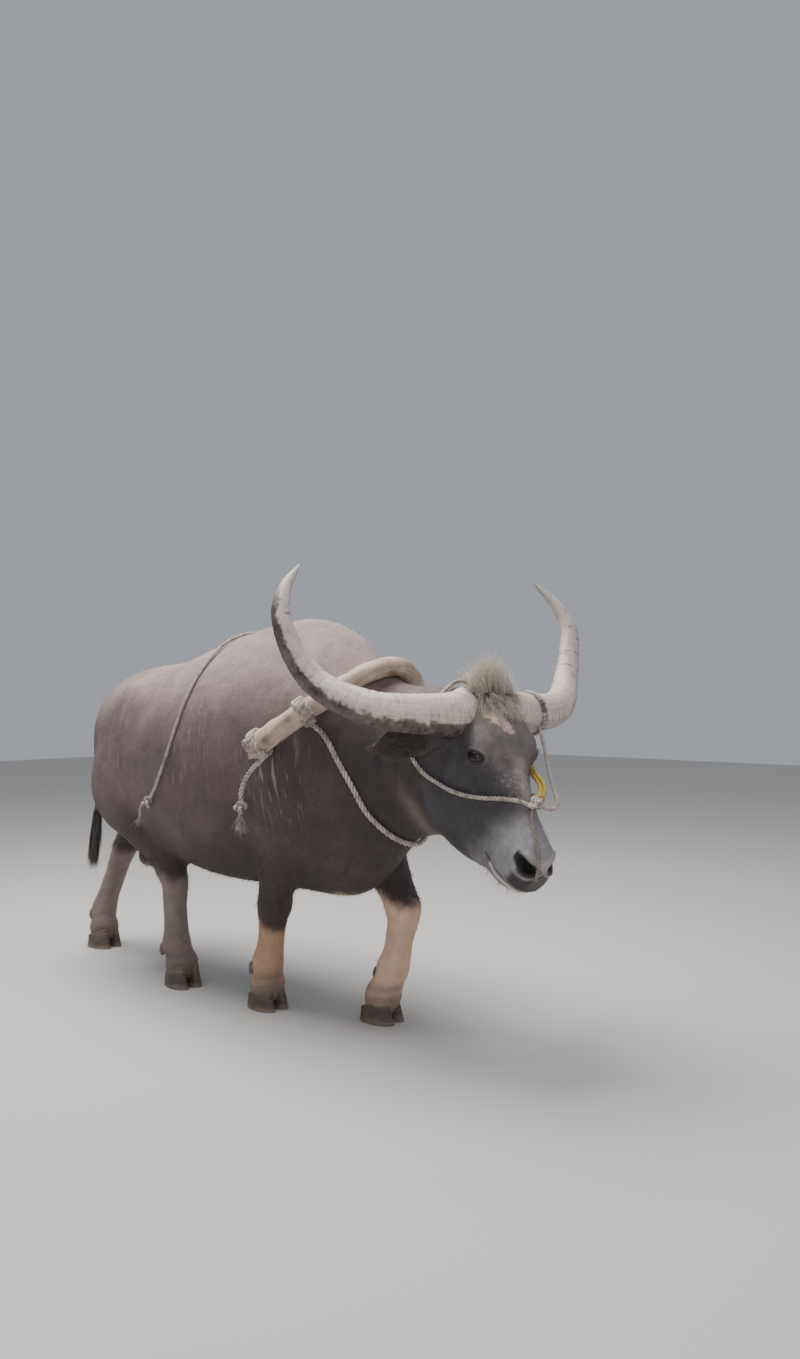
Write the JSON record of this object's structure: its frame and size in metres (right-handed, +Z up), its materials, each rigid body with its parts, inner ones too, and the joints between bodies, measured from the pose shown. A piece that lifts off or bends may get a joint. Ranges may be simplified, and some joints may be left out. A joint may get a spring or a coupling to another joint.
{
  "type": "water buffalo",
  "caption": "Walking swamp buffalo bull, life size and still, with swept horns, a wooden neck yoke, a rope halter and a back rope; it stands on its hooves as a display animal.",
  "frame": {"origin": "middle of the underside of the model's box without the free ropes, on the floor", "axes": "+X forwards along the trunk, +Y to the animal's left, +Z up"},
  "size_m": [2.5076, 1.1358, 1.5113],
  "materials": {
    "hide": "dark grey-brown skin with sparse coarse hair",
    "hide_legs": "dark above, tan hair below the knee and hock",
    "horn": "pale ridged horn, grey to the tip",
    "hoof": "dark grey hoof horn, matt",
    "eye": "dark brown, glossy",
    "yoke_wood": "bare weathered wood",
    "rope": "worn laid rope",
    "tie": "yellow cord tassel"
  },
  "bodies": {
    "root": {"back_knot_left": "rope", "back_knot_right": "rope", "back_rope": "rope", "bridge_knot": "rope", "claw_left_fore_left": "hoof", "claw_left_fore_right": "hoof", "claw_left_hind_left": "hoof", "claw_left_hind_right": "hoof", "claw_right_fore_left": "hoof", "claw_right_fore_right": "hoof", "claw_right_hind_left": "hoof", "claw_right_hind_right": "hoof", "dewclaw_left_fore_left": "hoof", "dewclaw_left_fore_right": "hoof", "dewclaw_left_hind_left": "hoof", "dewclaw_left_hind_right": "hoof", "dewclaw_right_fore_left": "hoof", "dewclaw_right_fore_right": "hoof", "dewclaw_right_hind_left": "hoof", "dewclaw_right_hind_right": "hoof", "ear_left": "hide", "ear_right": "hide", "eye_left": "eye", "eye_right": "eye", "halter_rope": "rope", "head": "hide", "horn_left": "horn", "horn_right": "horn", "horn_rope": "rope", "leg_left_fore": "hide_legs", "leg_left_hind": "hide_legs", "leg_right_fore": "hide_legs", "leg_right_hind": "hide_legs", "neck": "hide", "nose_rope": "rope", "tail": "hide", "throat_rope": "rope", "torso": "hide", "trace_binding_left": "rope", "trace_binding_right": "rope", "trace_knot_left": "rope", "trace_knot_right": "rope", "trace_left": "rope", "trace_right": "rope", "yellow_tie": "tie", "yoke": "yoke_wood"}
  },
  "joints": []
}
